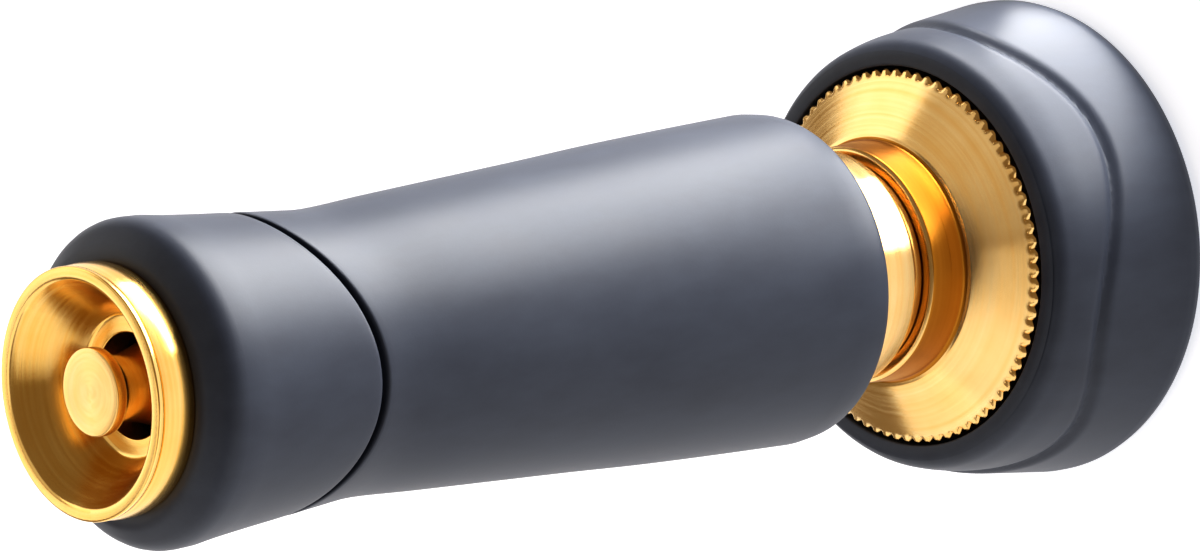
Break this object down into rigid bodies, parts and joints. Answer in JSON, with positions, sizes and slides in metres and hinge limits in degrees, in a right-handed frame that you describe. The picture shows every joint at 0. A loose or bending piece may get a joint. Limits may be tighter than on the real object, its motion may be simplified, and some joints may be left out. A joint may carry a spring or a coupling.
{
  "type": "hose spray nozzle",
  "caption": "Twist hose nozzle: brass stem and barrel with rubber grips, flared brass nose cup with a centre pintle, and a knurled swivel hose coupling in a rubber ring.",
  "frame": {"origin": "centre of the coupling ring's back face, where the nozzle stands with its nose up", "axes": "+Z along the nozzle's axis, from the hose end to the nose; +X and +Y are across it, and the gap in the swivel clip faces +X"},
  "size_m": [0.0454, 0.0454, 0.1134],
  "materials": {
    "brass": "lathe-turned, bright",
    "spring_brass": "spring temper, smooth",
    "grip_rubber": "moulded, satin blue-grey",
    "seal_rubber": "smooth black",
    "spring_steel": "spring steel",
    "nylon": "natural nylon"
  },
  "bodies": {
    "coupling": {"coupling_nut": "brass", "coupling_grip": "grip_rubber", "hose_washer": "seal_rubber"},
    "stem": {"stem": "brass", "swivel_clip": "spring_brass", "thrust_washer": "nylon", "rear_stem_seal": "seal_rubber", "front_stem_seal": "seal_rubber", "pintle": "brass", "plug_seal": "seal_rubber"},
    "wiper": {"wiper_seal": "seal_rubber"},
    "barrel": {"barrel_tube": "brass", "stop_ring": "spring_steel", "nose_cup": "brass", "nose_gasket": "nylon", "front_grip": "grip_rubber", "rear_grip": "grip_rubber"}
  },
  "joints": [
    {"name": "coupling_swivel", "type": "hinge", "parent": "coupling", "child": "stem", "pos_m": [0, 0, 0.0153], "axis": [0, 0, 1], "continuous": true},
    {"name": "barrel_travel", "type": "slide", "parent": "stem", "child": "wiper", "axis": [0, 0, 1], "range_m": [-0.0015, 0.00375]},
    {"name": "barrel_twist", "type": "hinge", "parent": "wiper", "child": "barrel", "pos_m": [0, 0, 0.0287], "axis": [0, 0, 1], "range_deg": [-217, 541]}
  ],
  "couplings": [
    {"joint": "barrel_twist", "follows": "barrel_travel", "rad_per_m": 2513.3}
  ]
}
